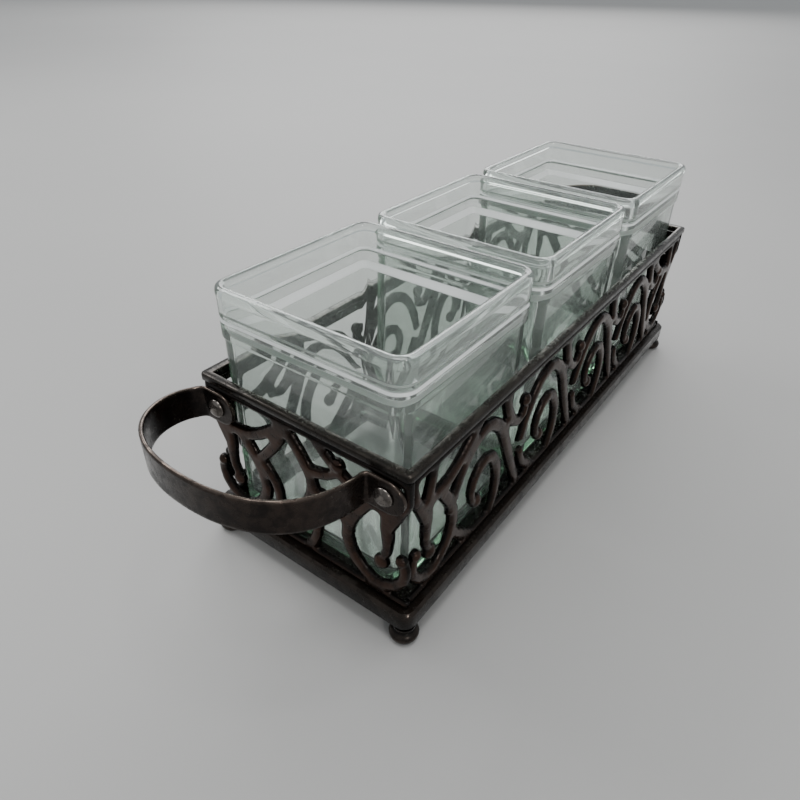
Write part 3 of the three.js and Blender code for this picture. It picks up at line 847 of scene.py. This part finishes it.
def dish_profile():
    """The section of a dish's wall, from its foot up the outer face, over the rim and down to the floor
    inside, as (distance inside the rim's outer face, height, rounding)."""
    top, base, wall = DISH_HEIGHT, DISH_BASE, DISH_WALL
    bead = DISH_BEAD / 2
    groove = top - DISH_COLLAR * GROOVE_SHARE
    ledge = top - DISH_COLLAR
    band, body = 0.4 * MM, 1.3 * MM
    middle = wall + DISH_UPPER_LEDGE
    well = middle + DISH_LOWER_LEDGE
    return [
        (body + 4 * MM, 0, 0.6 * MM),
        (body + 1.2 * MM, 1.2 * MM, 0.8 * MM),
        (body, 4 * MM, 1.2 * MM),
        (body, ledge - 1 * MM, 0.4 * MM),
        (band, ledge + 0.4 * MM, 0.5 * MM),
        (band, groove - 1 * MM, 0.5 * MM),
        (body, groove, 0.35 * MM),
        (band, groove + 1 * MM, 0.5 * MM),
        (band, top - 2 * bead, 0.3 * MM),
        (0, top - 1.3 * bead, 0.7 * MM),
        (0.2 * bead, top - 0.35 * bead, 0.5 * MM),
        (bead, top, 0.8 * MM),
        (1.8 * bead, top - 0.35 * bead, 0.5 * MM),
        (2 * bead, top - 1.2 * bead, 0.6 * MM),
        (wall, top - 1.9 * bead, 0.5 * MM),
        (wall, groove + 2 * MM, 0.4 * MM),
        (middle, groove + 1 * MM, 0.4 * MM),
        (middle, ledge + 3.8 * MM, 0.5 * MM),
        (well, ledge + 0.7 * MM, 0.7 * MM),
        (well, base + 3 * MM, 1 * MM),
        (well + 1 * MM, base + 0.9 * MM, 0.8 * MM),
        (well + 3 * MM, base, 0.8 * MM),
    ]


def dish(name, node, body):
    """A square dish whose ledges get a rougher, mostly unclear glass with a pale diffuse colour: a
    painted highlight that stands in for the light the ledges catch.
    """
    low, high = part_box(node)
    profile = dish_profile()
    points = [(inset, low.z + z, 0.0) for inset, z, _ in profile]
    rounding = [(i, profile[i][2]) for i in range(1, len(profile) - 1)]
    bm = outline(points, False, rounding)
    square_ring(bm, DISH_SIDE, DISH_SIDE, DISH_CORNER_RADIUS, 10)
    bmesh.ops.holes_fill(bm, edges=[edge for edge in bm.edges if edge.is_boundary], sides=0)
    bmesh.ops.recalc_face_normals(bm, faces=bm.faces)
    bmesh.ops.translate(bm, verts=bm.verts, vec=(middle_of(node).x, 0, 0))
    sharpen(bm, 60)
    # Faces of the collar that look up get the pale ledge glass, a painted highlight.
    collar_foot = high.z - DISH_COLLAR - 1 * MM
    for face in bm.faces:
        height = face.calc_center_median().z
        if face.normal.z > LEDGE_SLOPE and collar_foot < height < high.z - DISH_BEAD:
            face.material_index = 1
    piece = finish_piece(name, bm, GLASS, body, node)
    piece.data.materials.append(LEDGE_PAINTED_HIGHLIGHT_GLASS)


# ---------------------------------------------------------------- assembly

panels()
top_rim()
base_ring()
for number in (1, 2):
    cross_bar(f"floor_bar_{number}", f"cross_bar_{number}")
for end in ("front", "rear"):
    for side in ("right", "left"):
        foot(f"knob_foot_{end}_{side}", f"foot_{end}_{side}")
        rivet(f"rivet_{end}_{side}", f"{end}_{side}_rivet")
strap("front_strap", "front_handle", math.pi, 1)
strap("rear_strap", "rear_handle", 0.0, -1)
for number, body in enumerate(("front_dish", "middle_dish", "rear_dish"), 1):
    dish(f"glass_dish_{number}", f"dish_{number}", body)

# ---------------------------------------------------------------- floor, light and camera

FLOOR_HALF = 15  # metres
AIM = Vector((0, 0, 0.06))  # the lamps point at the middle of the caddy

VIEW_PLACE = Vector((-302.3, -152.7, 246.7)) * MM
VIEW_TURN = math.radians(35.71)  # from +X towards +Y
VIEW_TILT = math.radians(-34.97)
VIEW_LEAN = math.radians(1.23)
SENSOR_WIDTH = 36
LENS = 29.1


def floor():
    bm = bmesh.new()
    bmesh.ops.create_grid(bm, x_segments=2, y_segments=2, size=FLOOR_HALF)
    mesh = bpy.data.meshes.new("floor")
    bm.to_mesh(mesh)
    bm.free()
    mesh.materials.append(floor_finish())
    plane = bpy.data.objects.new("floor", mesh)
    bpy.context.scene.collection.objects.link(plane)


def soft_light(name, place, width, height, power, colour=(1, 1, 1)):
    """A soft box that faces the caddy."""
    lamp = bpy.data.lights.new(name, "AREA")
    lamp.shape = "RECTANGLE"
    lamp.size = width
    lamp.size_y = height
    lamp.energy = power
    lamp.color = colour
    holder = bpy.data.objects.new(name, lamp)
    holder.location = place
    holder.rotation_euler = (AIM - Vector(place)).to_track_quat("-Z", "Y").to_euler()
    bpy.context.scene.collection.objects.link(holder)


def sky(colour, strength):
    world = bpy.data.worlds.new("studio")
    world.use_nodes = True
    background = world.node_tree.nodes["Background"]
    background.inputs["Color"].default_value = (*colour, 1)
    background.inputs["Strength"].default_value = strength
    bpy.context.scene.world = world


def camera():
    """The camera, turned about the upright, tilted down and leaned a little to one side."""
    turn, tilt, lean = VIEW_TURN, VIEW_TILT, VIEW_LEAN
    ahead = Vector((math.cos(turn) * math.cos(tilt), math.sin(turn) * math.cos(tilt), math.sin(tilt)))
    level = Vector((math.sin(turn), -math.cos(turn), 0))
    above = level.cross(ahead)
    right = math.cos(lean) * level + math.sin(lean) * above
    over = -math.sin(lean) * level + math.cos(lean) * above
    axes = Matrix((right, over, -ahead)).transposed().to_4x4()
    lens = bpy.data.cameras.new("view")
    lens.sensor_width = SENSOR_WIDTH
    lens.lens = LENS
    lens.clip_start = 0.01
    holder = bpy.data.objects.new("view", lens)
    holder.matrix_world = Matrix.Translation(VIEW_PLACE) @ axes
    bpy.context.scene.collection.objects.link(holder)
    bpy.context.scene.camera = holder


floor()
sky((0.9, 0.94, 0.97), 0.65)
soft_light("window", (0.0, 1.35, 1.15), 0.6, 0.6, 9)
soft_light("wall", (2.7, 1.8, 1.6), 2.8, 1.7, 70)
soft_light("ceiling", (-0.1, -0.1, 2.0), 0.9, 0.9, 18)
soft_light("room", (-0.75, -1.25, 0.95), 0.22, 0.22, 5.5, (1, 0.97, 0.93))
camera()
